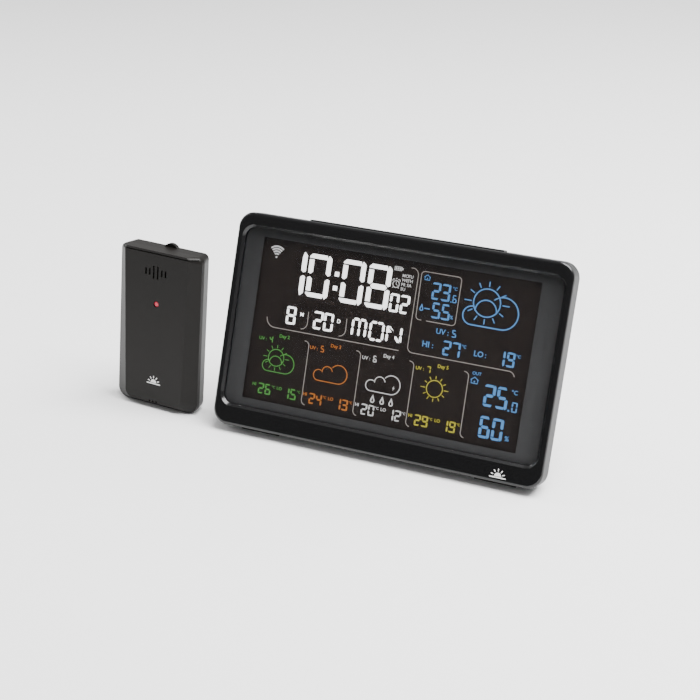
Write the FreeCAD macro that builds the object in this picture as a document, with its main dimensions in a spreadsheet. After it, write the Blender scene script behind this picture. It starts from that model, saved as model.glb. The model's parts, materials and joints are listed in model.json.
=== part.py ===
import FreeCAD, Part
import math
import os
import re
import Sketcher

# Home weather station: a tabletop colour display console with a fold-out leg, and its wireless
# outdoor sensor standing beside it. Millimetres, +Z up, the table top at z = 0.
#
# Each unit is drawn upright in its own frame (x to the right, y from its front face towards its
# back, z up its face) and is then leaned back and set on the table by that frame's placement.

os.makedirs("parts", exist_ok=True)
doc = FreeCAD.newDocument("WeatherStation")

DRIVING_SIZES = {
    # where the two units stand
    "console_across": 36.12,
    "console_forward": -31.5,
    "console_rise": 5.1,
    "console_lean": 21.0,
    "sensor_across": -108.38,
    "sensor_forward": -23.4,
    "sensor_lean": 8.0,
    "sensor_turn": -4.9,
    # console case
    "console_width": 200.0,
    "console_height": 124.0,
    "console_depth": 22.0,
    "corner_radius": 9.0,
    "bezel_depth": 12.0,
    "back_inset": 7.0,
    "case_wall": 2.2,
    "edge_round": 1.8,
    # display stack
    "window_width": 190.0,
    "window_height": 103.0,
    "window_radius": 6.0,
    "window_middle": 64.1,
    "mask_front": 3.0,
    "view_width": 166.3,
    "view_height": 93.6,
    "view_middle": 64.2,
    "glass_width": 172.0,
    "glass_height": 99.0,
    # leg
    "leg_width": 44.0,
    "leg_thick": 3.6,
    "leg_axis_rise": 54.0,
    "leg_axis_deep": 19.4,
    "leg_opening": 41.0,
    "pin_diameter": 3.0,
    # snooze bar and keys
    "snooze_width": 116.0,
    "snooze_deep": 6.0,
    "key_width": 9.0,
    "key_tall": 5.0,
    "key_gap": 0.25,
    # sensor case
    "sensor_width": 56.7,
    "sensor_height": 96.4,
    "sensor_depth": 15.0,
    "sensor_seam": 7.6,
    "sensor_chamfer": 5.0,
    "sensor_wall": 2.0,
    "face_top": 44.8,
    "face_foot": 39.6,
    "face_low": 3.0,
    "top_corner": 4.0,
    "foot_corner": 6.5,
    "cell_diameter": 10.5,
    "cell_length": 43.5,
}

sizes = doc.addObject("Spreadsheet::Sheet", "Sizes")
for row, (word, number) in enumerate(DRIVING_SIZES.items(), start=1):
    sizes.set(f"A{row}", word)
    sizes.set(f"B{row}", str(number))
    sizes.setAlias(f"B{row}", word)
doc.recompute()

WORD = re.compile(r"[a-z][a-z_]{3,}")
SUBPARTS = []


def size(word):
    """Number that the sheet holds for a word."""
    return float(sizes.get(word))


def bind(item, name, formula):
    """Tie a property to a formula of the sheet's words, or to a plain number."""
    item.setExpression(name, WORD.sub(lambda found: "Sizes." + found.group(), str(formula)))


# ---------------------------------------------------------------- drawing tools

TURNS = {
    "x": FreeCAD.Rotation(FreeCAD.Vector(0, 1, 0), 90),
    "y": FreeCAD.Rotation(FreeCAD.Vector(1, 0, 0), -90),
    "z": FreeCAD.Rotation(),
}


def place(item, x, y, z, rotation=None):
    item.Placement = FreeCAD.Placement(FreeCAD.Vector(), rotation or FreeCAD.Rotation())
    bind(item, "Placement.Base.x", x)
    bind(item, "Placement.Base.y", y)
    bind(item, "Placement.Base.z", z)
    return item


def block(width, depth, height, x=0, y=0, z=0):
    """Block centred on x, with its front at y and its foot at z."""
    item = doc.addObject("Part::Box", "Block")
    bind(item, "Length", width)
    bind(item, "Width", depth)
    bind(item, "Height", height)
    return place(item, f"({x}) - ({width}) / 2", y, z)


def rod(diameter, length, x=0, y=0, z=0, along="y"):
    """Cylinder that starts at the given point."""
    item = doc.addObject("Part::Cylinder", "Rod")
    bind(item, "Radius", f"({diameter}) / 2")
    bind(item, "Height", length)
    return place(item, x, y, z, TURNS[along])


def ring(diameter, wire, x=0, y=0, z=0, along="z"):
    """Round wire bent into a ring about the given centre."""
    item = doc.addObject("Part::Torus", "Ring")
    bind(item, "Radius1", f"({diameter}) / 2")
    bind(item, "Radius2", f"({wire}) / 2")
    return place(item, x, y, z, TURNS[along])


def fuse(*items):
    joined = doc.addObject("Part::MultiFuse", "Fuse")
    joined.Shapes = list(items)
    return joined


def cut(base, *tools):
    result = doc.addObject("Part::Cut", "Cut")
    result.Base = base
    result.Tool = tools[0] if len(tools) == 1 else fuse(*tools)
    return result


def group(*solids):
    """Separate solids that share one sub-part."""
    together = doc.addObject("Part::Compound", "Group")
    together.Links = list(solids)
    return together


def rounded(item, radius, chosen):
    """Round the edges that the chosen test picks."""
    doc.recompute()
    fillet = doc.addObject("Part::Fillet", "Rounded")
    fillet.Base = item
    picked = [number for number, edge in enumerate(item.Shape.Edges, start=1) if chosen(edge)]
    fillet.Edges = [(number, radius, radius) for number in picked]
    return fillet


def runs_along(axis):
    """Test for straight edges parallel to one axis."""
    return lambda edge: abs(abs((edge.valueAt(edge.LastParameter) - edge.valueAt(edge.FirstParameter))
                                .normalize().dot(axis)) - 1) < 1e-6


def round_loop(sketch, half_w, half_h, corner, middle):
    """Lines 0 to 3 (foot, right, top, left) and arcs 4 to 7 between them, each tangent to the next."""
    flat_w, low, high = half_w - corner, middle - half_h, middle + half_h
    ends = [((-flat_w, low), (flat_w, low)), ((half_w, low + corner), (half_w, high - corner)),
            ((flat_w, high), (-flat_w, high)), ((-half_w, high - corner), (-half_w, low + corner))]
    for start, end in ends:
        sketch.addGeometry(Part.LineSegment(FreeCAD.Vector(*start, 0), FreeCAD.Vector(*end, 0)))
    centres = [(flat_w, low + corner), (flat_w, high - corner), (-flat_w, high - corner),
               (-flat_w, low + corner)]
    for quarter, centre in enumerate(centres):
        circle = Part.Circle(FreeCAD.Vector(*centre, 0), FreeCAD.Vector(0, 0, 1), corner)
        first = math.radians(90 * quarter - 90)
        sketch.addGeometry(Part.ArcOfCircle(circle, first, first + math.pi / 2))
    for side in range(4):
        sketch.addConstraint(Sketcher.Constraint("Tangent", side, 2, 4 + side, 1))
        sketch.addConstraint(Sketcher.Constraint("Tangent", 4 + side, 2, (side + 1) % 4, 1))


def dimension(sketch, kind, places, start_value, formula):
    """Add a dimension at the drawn value, then tie it to the sheet."""
    number = sketch.addConstraint(Sketcher.Constraint(kind, *places, start_value))
    bind(sketch, f"Constraints[{number}]", formula)


def rounded_outline(sketch, width, height, radius, x, z):
    """Fully constrained rectangle with four equal round corners, centred on (x, z)."""
    half_w, half_h, corner = 20.0, 10.0, 3.0
    round_loop(sketch, half_w, half_h, corner, 0)
    for side in range(4):
        sketch.addConstraint(Sketcher.Constraint("Vertical" if side % 2 else "Horizontal", side))
    for arc in (5, 6, 7):
        sketch.addConstraint(Sketcher.Constraint("Equal", 4, arc))
    dimension(sketch, "Radius", (4,), corner, radius)
    dimension(sketch, "DistanceX", (3, 1, 1, 1), 2 * half_w, width)
    dimension(sketch, "DistanceY", (0, 1, 2, 1), 2 * half_h, height)
    dimension(sketch, "DistanceX", (-1, 1, 1, 1), half_w, f"({x}) + ({width}) / 2")
    dimension(sketch, "DistanceY", (-1, 1, 2, 1), half_h, f"({z}) + ({height}) / 2")


def shield_outline(sketch, top, foot, low, high, top_radius, foot_radius):
    """Fully constrained outline about x = 0, with its own width and corner at the top and the foot."""
    half_w, half_h, corner, middle = 25.0, 46.0, 4.0, 48.0
    round_loop(sketch, half_w, half_h, corner, middle)
    ends = {4: (foot, foot_radius, f"({low}) + ({foot_radius})", middle - half_h + corner),
            5: (top, top_radius, f"({high}) - ({top_radius})", middle + half_h - corner)}
    for arc, (width, radius, rise, drawn_rise) in ends.items():
        across = f"({width}) / 2 - ({radius})"
        for number, places in ((arc, (-1, 1, arc, 3)), (11 - arc, (11 - arc, 3, -1, 1))):
            dimension(sketch, "Radius", (number,), corner, radius)
            dimension(sketch, "DistanceX", places, half_w - corner, across)
            dimension(sketch, "DistanceY", (-1, 1, number, 3), drawn_rise, rise)


def origin_plane(body, role):
    return next(feature for feature in body.Origin.OriginFeatures if feature.Role == role)


def panel(width, height, depth, radius, x=0, z=0, y=0, front_round=None):
    """Moulded panel with round corners, padded from y towards the back."""
    body = doc.addObject("PartDesign::Body", "Panel")
    sketch = body.newObject("Sketcher::SketchObject", "Outline")
    sketch.AttachmentSupport = [(origin_plane(body, "XZ_Plane"), "")]
    sketch.MapMode = "FlatFace"
    bind(sketch, "AttachmentOffset.Base.z", f"-({y})")
    rounded_outline(sketch, width, height, radius, x, z)
    pad = body.newObject("PartDesign::Pad", "Pad")
    pad.Profile = sketch
    pad.Reversed = True
    bind(pad, "Length", depth)
    if front_round:
        doc.recompute()
        front = pad.Shape.BoundBox.YMin
        names = [f"Edge{number}" for number, edge in enumerate(pad.Shape.Edges, start=1)
                 if edge.BoundBox.YMax < front + 1e-3]
        fillet = body.newObject("PartDesign::Fillet", "FrontRound")
        fillet.Base = (pad, names)
        bind(fillet, "Radius", front_round)
    return body


def tapered(front, back, outline=rounded_outline):
    """Panel whose outline changes evenly; each end is its depth y and then the outline's sizes."""
    sections = []
    for y, *outline_sizes in (front, back):
        sketch = doc.addObject("Sketcher::SketchObject", "Section")
        place(sketch, 0, y, 0, FreeCAD.Rotation(FreeCAD.Vector(1, 0, 0), 90))
        outline(sketch, *outline_sizes)
        sections.append(sketch)
    loft = doc.addObject("Part::Loft", "Taper")
    loft.Sections = sections
    loft.Solid = True
    loft.Ruled = True
    return loft


def profile(points, width, x=0):
    """Prism along x from a side outline of (y, z) points."""
    corners = [FreeCAD.Vector(x - width / 2, y, z) for y, z in points]
    item = doc.addObject("Part::Feature", "Profile")
    item.Shape = Part.Face(Part.makePolygon(corners + corners[:1])).extrude(FreeCAD.Vector(width, 0, 0))
    return item


def finish(item, label, frame):
    """Name a sub-part and put it in its unit's frame."""
    if item.TypeId in ("Part::Box", "Part::Cylinder"):
        item = group(item)
    item.Label = label
    item.Placement = frame
    SUBPARTS.append(item)


# ---------------------------------------------------------------- the two units' frames

SIDEWAYS = FreeCAD.Vector(1, 0, 0)
UPWARDS = FreeCAD.Vector(0, 0, 1)
console_frame = FreeCAD.Placement(
    FreeCAD.Vector(size("console_across"), size("console_forward"), size("console_rise")),
    FreeCAD.Rotation(SIDEWAYS, -size("console_lean")))

# The sensor stands on the rear half of its base, which is moulded level for this lean.
sensor_rise = size("sensor_seam") * math.sin(math.radians(size("sensor_lean")))
sensor_frame = FreeCAD.Placement(
    FreeCAD.Vector(size("sensor_across"), size("sensor_forward"), sensor_rise),
    FreeCAD.Rotation(UPWARDS, size("sensor_turn")) * FreeCAD.Rotation(SIDEWAYS, -size("sensor_lean")))


# ---------------------------------------------------------------- console: front bezel

SCREW_SPOTS = [(across, up) for up in (6.2, 119.4) for across in (-88, 88)]
MIDDLE = "console_height / 2"


def front_bezel():
    outer = panel("console_width", "console_height", "bezel_depth", "corner_radius", z=MIDDLE,
                  front_round="edge_round")
    inner_width = "console_width - 2 * case_wall"
    inner_height = "console_height - 2 * case_wall"
    behind_ledge = panel(inner_width, inner_height, 8, 6.8, z=MIDDLE, y=4.4)
    beside_ledge = cut(panel(inner_width, inner_height, 2.2, 6.8, z=MIDDLE, y=2.4),
                       panel("window_width + 4.4", "window_height + 4.4", 3, 8, z="window_middle", y=2))
    opening = panel("window_width + 0.4", "window_height + 0.4", 4.3, "window_radius + 0.2",
                    z="window_middle", y=-1)
    ledge_opening = panel("window_width - 4", "window_height - 4", 2, "window_radius - 2",
                          z="window_middle", y=3)
    bevel = tapered((-0.2, "window_width + 3.6", "window_height + 3.6", "window_radius + 1.8", 0,
                     "window_middle"),
                    (1.6, "window_width + 0.2", "window_height + 0.2", "window_radius + 0.1", 0,
                     "window_middle"))
    shell = cut(outer, behind_ledge, beside_ledge, opening, ledge_opening, bevel)
    bosses = [rod(4.6, 10, across, 2, up) for across, up in SCREW_SPOTS]
    pilots = [rod(2.2, 7.2, across, 5, up) for across, up in SCREW_SPOTS]
    snooze_slot = block("snooze_width + 2 * key_gap", "snooze_deep + 2 * key_gap", 5,
                        y="5 - key_gap", z="console_height - 4")
    finish(cut(fuse(shell, *bosses), snooze_slot, *pilots), "front_bezel", console_frame)


front_bezel()


# ---------------------------------------------------------------- console: display stack

finish(panel("window_width", "window_height", 1.2, "window_radius", z="window_middle",
             y="mask_front - 1.2"), "display_lens", console_frame)
finish(cut(panel("window_width", "window_height", 0.25, "window_radius", z="window_middle",
                 y="mask_front"),
           block("view_width", 3, "view_height", x=-0.7, y=2, z="view_middle - view_height / 2")),
       "display_mask", console_frame)
finish(block("glass_width", 2.6, "glass_height", x=-0.7, y=4.6, z="view_middle - glass_height / 2"),
       "lcd_panel", console_frame)
finish(block("glass_width - 2", 2.8, "glass_height - 3", x=-0.7, y=7.4,
             z="view_middle - glass_height / 2 + 2.5"), "light_guide", console_frame)
finish(block("glass_width - 2", 0.3, "glass_height - 3", x=-0.7, y=10.3,
             z="view_middle - glass_height / 2 + 2.5"), "reflector_sheet", console_frame)


def lcd_frame():
    """Tray that carries the glass, the light guide and the board."""
    low = "view_middle - glass_height / 2"
    outer = block("glass_width + 6", 7, "glass_height + 6", x=-0.7, y=4.5, z=f"{low} - 3")
    stack_room = block("glass_width + 0.4", 6.2, "glass_height + 0.4", x=-0.7, y=4.4, z=f"{low} - 0.2")
    back_opening = block("glass_width - 10", 3, "glass_height - 10", x=-0.7, y=9.5, z=f"{low} + 5")
    posts = [rod(5, 1.4, across, 11, up) for across, up in BOARD_SPOTS]
    pilots = [rod(1.6, 1.8, across, 10.8, up) for across, up in BOARD_SPOTS]
    finish(cut(fuse(cut(outer, stack_room, back_opening), *posts), *pilots), "lcd_frame", console_frame)


def backlight_strip():
    """Narrow board with a row of light-emitting diodes that shine up into the light guide."""
    low = "view_middle - glass_height / 2"
    strip = block(160, 2.4, 0.6, x=-0.7, y=7.6, z=f"{low} + 0.2")
    diodes = [block(3.5, 1.6, 1.2, x=-0.7 + 13 * step, y=8, z=f"{low} + 0.8") for step in range(-5, 6)]
    finish(fuse(strip, *diodes), "backlight_strip", console_frame)


BOARD_SPOTS = [(-82, 64), (82, 64), (-82, 113.4), (82, 113.4)]
lcd_frame()
backlight_strip()
finish(block(60, 0.3, 44, y=11.7, z=16), "lcd_ribbon", console_frame)


# ---------------------------------------------------------------- console: electronics

BOARD_BACK = 14.0
KEY_SPOTS = {"set_key": (60, 98), "alarm_key": (78, 98), "up_key": (60, 84), "down_key": (78, 84),
             "channel_key": (60, 70), "wifi_key": (78, 70)}
JACK = (-76.0, 74.0)


def main_board():
    board = block(168, 1.6, 60.6, y=12.4, z=58)
    holes = [rod(2.2, 3, across, 12, up) for across, up in BOARD_SPOTS]
    finish(cut(board, *holes), "main_board", console_frame)


def dc_jack():
    """Barrel inlet that faces the back; the mating plug slides over its centre pin."""
    across, up = JACK
    body = block(9, 5.6, 11, x=across, y=BOARD_BACK, z=up - 5.5)
    nose = rod(6.8, 3, across, 19, up)
    bore = rod(5.6, 9, across, 14.8, up)
    pin = rod(2.0, 6.2, across, 14.4, up)
    finish(fuse(cut(fuse(body, nose), bore), pin), "dc_jack", console_frame)


def wifi_module():
    across = -44
    carrier = block(18, 0.8, 25, x=across, y=BOARD_BACK, z=86)
    can = block(15, 2.2, 17, x=across, y=BOARD_BACK + 0.8, z=87)
    finish(fuse(carrier, can), "wifi_module", console_frame)


def board_chips():
    chips = [block(10, 1.4, 10, x=-10, y=BOARD_BACK, z=76), block(14, 1.6, 8, x=34, y=BOARD_BACK, z=104),
             block(6, 1.4, 5, x=12, y=BOARD_BACK, z=84), block(9, 2.2, 3.4, x=-12, y=BOARD_BACK, z=94)]
    finish(group(*chips), "board_chips", console_frame)


def tact_switches():
    """One small push switch behind each key."""
    switches = [fuse(block(6, 3.4, 6, x=across, y=BOARD_BACK, z=up - 3), rod(3.2, 0.7, across, 17.4, up))
                for across, up in KEY_SPOTS.values()]
    finish(group(*switches), "tact_switches", console_frame)


main_board()
dc_jack()
wifi_module()
board_chips()
tact_switches()
finish(group(*[fuse(rod(1.6, 3, across, 11.2, up), rod(3.4, 1.2, across, BOARD_BACK, up))
               for across, up in BOARD_SPOTS]), "board_screws", console_frame)
finish(fuse(block(13, 1, 19, x=-66, y=BOARD_BACK, z=92), block(5, 1.4, 6, x=-66, y=15, z=96)),
       "radio_module", console_frame)
finish(rod(1.2, 62, -58, 16.5, 115.6, along="x"), "console_antenna", console_frame)
finish(cut(rod(12, 5.2, 34, BOARD_BACK, 90), rod(2, 3, 34, 18, 90)), "buzzer", console_frame)
finish(fuse(block(4, 0.8, 5, x=8, y=BOARD_BACK, z=105), block(2.5, 1, 2.5, x=8, y=14.8, z=106.2)),
       "room_sensor", console_frame)
finish(fuse(block(8, 5.4, 2.4, y=7, z=117), rod(3.2, 0.4, 0, 8, 119.4, along="z")),
       "snooze_switch", console_frame)


# ---------------------------------------------------------------- console: rear shell

DOOR = (56.0, 32.0)


def rear_shell():
    inset = "2 * back_inset"
    envelope = tapered(("bezel_depth", "console_width", "console_height", "corner_radius", 0, MIDDLE),
                       ("console_depth", f"console_width - {inset}", f"console_height - {inset}",
                        "corner_radius - 3", 0, MIDDLE))
    hollow = tapered(("bezel_depth - 0.1", "console_width - 5.4", "console_height - 5.4",
                      "corner_radius - 2.5", 0, MIDDLE),
                     ("console_depth - case_wall", f"console_width - {inset} - 2.3",
                      f"console_height - {inset} - 2.3", "corner_radius - 4.5", 0, MIDDLE))
    across, up = DOOR
    leg_housing = block("leg_width + 6", 12, "leg_axis_rise + 15", y=14.8, z=-10)
    door_housing = block(42, 12, 38, x=across, y=15.2, z=up - 19)
    columns = [rod(6.4, 11, x, 11.8, z) for x, z in SCREW_SPOTS]
    walls = cut(envelope, cut(hollow, leg_housing, door_housing, *columns))
    leg_recess = block("leg_width + 1.4", 8, "leg_axis_rise + 13", y=16.8, z=-10)
    leg_pin_bore = rod("pin_diameter", "leg_width + 5.4", "-leg_width / 2 - 2.7", "leg_axis_deep",
                       "leg_axis_rise", along="x")
    door_recess = block(34.4, 3, 30.4, x=across, y=20.1, z=up - 15.2)
    cell_room = rod(21, 6, across, 16.8, up)
    counterbores = [rod(4.6, 9, x, 17, z) for x, z in SCREW_SPOTS]
    screw_holes = [rod(2.4, 8, x, 11, z) for x, z in SCREW_SPOTS]
    key_holes = [block("key_width + 2 * key_gap", 4, "key_tall + 2 * key_gap", x=x, y=19,
                       z=f"{z} - key_tall / 2 - key_gap") for x, z in KEY_SPOTS.values()]
    vents = [block(1.8, 4, 15, x=-16 + 4 * step, y=19, z=94) for step in range(9)]
    jack_hole = rod(7.2, 4, JACK[0], 19, JACK[1])
    finish(cut(walls, leg_recess, leg_pin_bore, door_recess, cell_room, jack_hole, *counterbores,
               *screw_holes, *key_holes, *vents), "rear_shell", console_frame)


def screw(thread, length, head, head_thick, x, head_start, z):
    """Pan-head screw driven in from the back, with a cross recess."""
    shank = rod(thread, length, x, head_start - length + 0.2, z)
    cap = rod(head, head_thick, x, head_start, z)
    recess_start = head_start + head_thick - 0.8
    slots = [block(0.7, 1, 2.4, x=x, y=recess_start, z=z - 1.2),
             block(2.4, 1, 0.7, x=x, y=recess_start, z=z - 0.35)]
    return cut(fuse(shank, cap), *slots)


rear_shell()
finish(group(*[screw(2.2, 12, 4.2, 1.6, x, 17, z) for x, z in SCREW_SPOTS]), "case_screws", console_frame)
finish(rod(20, 3.2, DOOR[0], 16.85, DOOR[1]), "coin_cell", console_frame)


def battery_door():
    across, up = DOOR
    plate = rounded(block(34, 1.7, 30, x=across, y=20.25, z=up - 15), 2, runs_along(FreeCAD.Vector(0, 1, 0)))
    coin_slot = block(8, 1, 1.2, x=across, y=21.2, z=up + 9)
    finish(cut(plate, coin_slot), "battery_door", console_frame)


def snooze_bar():
    cap = rounded(block("snooze_width", "snooze_deep", 3.3, y=5, z="console_height - 2.5"), 0.6,
                  lambda edge: edge.BoundBox.ZMin > size("console_height") + 0.7)
    flange = block("snooze_width + 4", "snooze_deep", 1.3, y=5, z="console_height - 3.6")
    finish(fuse(cap, flange), "snooze_bar", console_frame)


def key(label, across, up):
    """Rear key: a cap through the shell on a flange that keeps it in."""
    cap = rounded(block("key_width", 3.6, "key_tall", x=across, y=19.4, z=f"{up} - key_tall / 2"), 0.8,
                  lambda edge: edge.BoundBox.YMin > size("console_depth") + 0.9
                  or runs_along(FreeCAD.Vector(0, 1, 0))(edge))
    flange = block("key_width + 2", 1, "key_tall + 2", x=across, y=18.6, z=f"{up} - key_tall / 2 - 1")
    finish(fuse(cap, flange), label, console_frame)


battery_door()
snooze_bar()
for label, (across, up) in KEY_SPOTS.items():
    key(label, across, up)


# ---------------------------------------------------------------- console: leg and feet

lean = math.radians(size("console_lean"))
tilt = math.radians(size("leg_opening")) - lean
axis_height = (size("console_rise") + size("leg_axis_rise") * math.cos(lean)
               - size("leg_axis_deep") * math.sin(lean))
leg_frame = console_frame * FreeCAD.Placement(
    FreeCAD.Vector(0, size("leg_axis_deep"), size("leg_axis_rise")),
    FreeCAD.Rotation(SIDEWAYS, size("leg_opening")))


def drop(y, height):
    """Point of the leg's side outline at depth y that is at this height above the table."""
    return (y, -(axis_height - height + y * math.sin(tilt)) / math.cos(tilt))


PAD_THICK = 1.6


def stand_leg():
    half = size("leg_thick") / 2
    blade = profile([(-half, -1), (half, -1), drop(half, PAD_THICK), drop(-half, PAD_THICK)],
                    size("leg_width"))
    barrel = rod(4.8, "leg_width", "-leg_width / 2", along="x")
    window = rounded(block("leg_width - 18", 12, 24, y=-6, z=-40), 4, runs_along(FreeCAD.Vector(0, 1, 0)))
    bore = rod("pin_diameter + 0.1", "leg_width + 2", "-leg_width / 2 - 1", along="x")
    finish(cut(fuse(blade, barrel), window, bore), "stand_leg", leg_frame)


def leg_pad():
    """Rubber strip along the leg's end, flat on the table."""
    half = size("leg_thick") / 2
    finish(profile([drop(-half, PAD_THICK), drop(half, PAD_THICK), drop(half, 0), drop(-half, 0)],
                   size("leg_width") - 6), "leg_pad", leg_frame)


def console_feet():
    """Two rubber wedges under the bezel, cut level with the table."""
    def underside(y):
        return (y, (y * math.sin(lean) - size("console_rise")) / math.cos(lean))
    section = [(9.2, 0), (11.8, 0), underside(11.8), underside(9.2)]
    feet = [profile(section, 24, x=side * 72) for side in (-1, 1)]
    finish(group(*feet), "console_feet", console_frame)


stand_leg()
leg_pad()
console_feet()
finish(rod("pin_diameter", "leg_width + 5.2", "-leg_width / 2 - 2.6", "leg_axis_deep", "leg_axis_rise",
           along="x"), "leg_pin", console_frame)


# ---------------------------------------------------------------- sensor: front shell

SENSOR_SCREWS = [(across, up) for up in (9.5, 87.5) for across in (-20.8, 20.8)]
SENSOR_BOARD = 3.6
BOARD_REAR = 5.2
LAMP = (0.45, 64.4)
OUTLINE = ("sensor_width", "sensor_width", 0, "sensor_height", "top_corner", "foot_corner")
INSIDE = ("sensor_width - 3.7", "sensor_width - 3.7", 2, "sensor_height - 2", 2.6, 5)


def sensor_front_shell():
    """Front half: a face that narrows downwards, with chamfered sides and foot."""
    nose = tapered((0, "face_top", "face_foot", "face_low", "sensor_height", 2.5, 5),
                   ("sensor_chamfer", *OUTLINE), shield_outline)
    skirt = tapered(("sensor_chamfer", *OUTLINE), ("sensor_seam", *OUTLINE), shield_outline)
    inner_nose = tapered((1.6, "face_top - 1.2", "face_foot - 1", "face_low + 0.7",
                          "sensor_height - 2", 2, 4), (5.8, *INSIDE), shield_outline)
    inner_skirt = tapered((5.7, *INSIDE), ("sensor_seam + 0.1", *INSIDE), shield_outline)
    rim_groove = cut(block("sensor_width + 2", 5.2, 0.7, y=-1, z="sensor_height - 1.9"),
                     tapered((0.8, "face_top", "sensor_height", 2, 0, "sensor_height / 2"),
                             (5.0, "sensor_width - 1.8", "sensor_height", 3, 0, "sensor_height / 2")))
    # six air slots, the middle pair twice as long
    slots = [block(1.1, 4, 4.1, x=pitch - 0.35, y=-1, z=81.5) for pitch in (-6.85, -4.25, 4.25, 6.85)]
    slots += [block(1.1, 4, 7.8, x=pitch - 0.35, y=-1, z=79.6) for pitch in (-1.4, 1.4)]
    drains = [block(0.9, 6, 2, x=0.3 + 2.4 * step, y=0, z=2.2) for step in (-1, 0, 1)]
    lamp_hole = rod(3.6, 4, LAMP[0], -1, LAMP[1])
    bosses = [rod(5, 5.3, across, 2.2, up) for across, up in SENSOR_SCREWS]
    pilots = [rod(2, 5, across, 2.9, up) for across, up in SENSOR_SCREWS]
    walls = cut(fuse(nose, skirt), inner_nose, inner_skirt)
    finish(cut(fuse(walls, *bosses), rim_groove, lamp_hole, *slots, *drains, *pilots),
           "sensor_front_shell", sensor_frame)


# ---------------------------------------------------------------- sensor: back shell

LEVEL = math.tan(math.radians(size("sensor_lean")))
HANGER = (1.2, 92.3)


def level_base(y):
    """Point of the sensor's underside that is level with the table."""
    return (y, (y - size("sensor_seam")) * LEVEL)


def sensor_back_shell():
    """Rear half with the battery room, the hanging tab and the level base."""
    back_low = level_base(size("sensor_depth"))[1] - 0.3
    envelope = tapered(("sensor_seam", *OUTLINE),
                       ("sensor_depth", "sensor_width - 4", "sensor_width - 4", f"{back_low:.4f}",
                        "sensor_height + 0.3", 3.2, 5.5), shield_outline)
    under_table = profile([level_base(6), level_base(17), (17, -5), (6, -5)], 70)
    hollow = tapered(("sensor_seam - 0.1", *INSIDE),
                     ("sensor_depth - sensor_wall", "sensor_width - 7", "sensor_width - 7", 2.8,
                      "sensor_height - 1.8", 2.2, 4.5), shield_outline)
    tray = block(30.4, 12.8, 56, y=1.8, z=4)
    tray_front = block(30.4, 6.2, 56, y=1.8, z=4)
    switch_shelf = block(30.4, 6, 14, y=8.7, z=58)
    columns = [rod(5.4, 7, x, 7.5, z) for x, z in SENSOR_SCREWS]
    walls = fuse(cut(envelope, under_table, cut(hollow, tray, switch_shelf, *columns)), tray_front)
    tab = rod(10.8, 2.6, HANGER[0], 12.4, HANGER[1] + 1.2)
    screw_eye = rod(3.2, 4, HANGER[0], 12.4, HANGER[1])
    cell_room = block(23.4, 14, 51.4, y=2.6, z=5)
    switch_room = block(23.4, 8, 11.4, y=10, z=58.2)
    door_recess = block(27.4, 3, 66.4, y=13.3, z=4.1)
    button_hole = rod(4, 4, BUTTON[0], 7.5, BUTTON[1])
    slider_slot = block(7.6, 4, 3, x=SLIDER[0], y=7.5, z=SLIDER[1] - 1.5)
    counterbores = [rod(4.2, 6, x, 11.4, z) for x, z in SENSOR_SCREWS]
    screw_holes = [rod(2.2, 8, x, 7, z) for x, z in SENSOR_SCREWS]
    finish(cut(fuse(walls, tab), screw_eye, cell_room, switch_room, door_recess, button_hole, slider_slot,
               *counterbores, *screw_holes), "sensor_back_shell", sensor_frame)


BUTTON = (-6.0, 64.0)
SLIDER = (5.0, 64.0)
sensor_front_shell()
sensor_back_shell()


# ---------------------------------------------------------------- sensor: what it holds

CELL_MIDDLE = 7.95
CELLS = ((-5.6, 1), (5.6, -1))


def sensor_batteries():
    """Two cells side by side, head to tail."""
    cells = []
    for across, heading in CELLS:
        low = 8.9 if heading > 0 else 9.1
        nub_low = low + size("cell_length") if heading > 0 else low - 1
        cells.append(fuse(rod("cell_diameter", "cell_length", across, CELL_MIDDLE, low, along="z"),
                          rod(3.8, 1, across, CELL_MIDDLE, nub_low, along="z")))
    finish(group(*cells), "sensor_batteries", sensor_frame)


def cell_springs():
    """Conical spring at each cell's flat end."""
    springs = []
    for across, heading in CELLS:
        start, step = (5.9, 0.75) if heading > 0 else (55.5, -0.7)
        turns = [ring(7.4 - 0.7 * turn, 0.9, across, CELL_MIDDLE, start + step * turn) for turn in range(4)]
        springs.append(fuse(*turns))
    finish(group(*springs), "cell_springs", sensor_frame)


def cell_contacts():
    plates = []
    for across, heading in CELLS:
        plates.append(block(8, 8, 0.3, x=across, y=CELL_MIDDLE - 4, z=5.05))
        plates.append(block(8, 8, 0.3, x=across, y=CELL_MIDDLE - 4, z=56.05))
    finish(group(*plates), "cell_contacts", sensor_frame)


def sensor_board():
    board = block(38, BOARD_REAR - SENSOR_BOARD, 31.5, y=SENSOR_BOARD, z=60.5)
    corner_room = [rod(6, 4, across, 3, 87.5) for across in (-20.8, 20.8)]
    finish(cut(board, *corner_room), "sensor_board", sensor_frame)


def sensor_antenna():
    """Coil of stiff wire soldered to the board."""
    turns = [ring(5, 0.9, -12 + 0.8 * turn, 8.3, 80, along="x") for turn in range(12)]
    finish(fuse(*turns, block(1, 1.6, 1, x=-11.6, y=BOARD_REAR, z=79.5)), "sensor_antenna", sensor_frame)


def lamp_lens():
    """Red light pipe that shows a transmission."""
    stem = rod(3.2, 1.5, LAMP[0], 0.5, LAMP[1])
    flange = rod(4.8, 0.7, LAMP[0], 1.7, LAMP[1])
    finish(rounded(fuse(stem, flange), 0.5, lambda edge: edge.BoundBox.YMax < 0.7), "lamp_lens",
           sensor_frame)


def send_button():
    stem = rod(3.6, 3.6, BUTTON[0], 8.4, BUTTON[1])
    flange = rod(5.6, 0.7, BUTTON[0], 7.8, BUTTON[1])
    finish(fuse(stem, flange), "send_button", sensor_frame)


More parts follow.
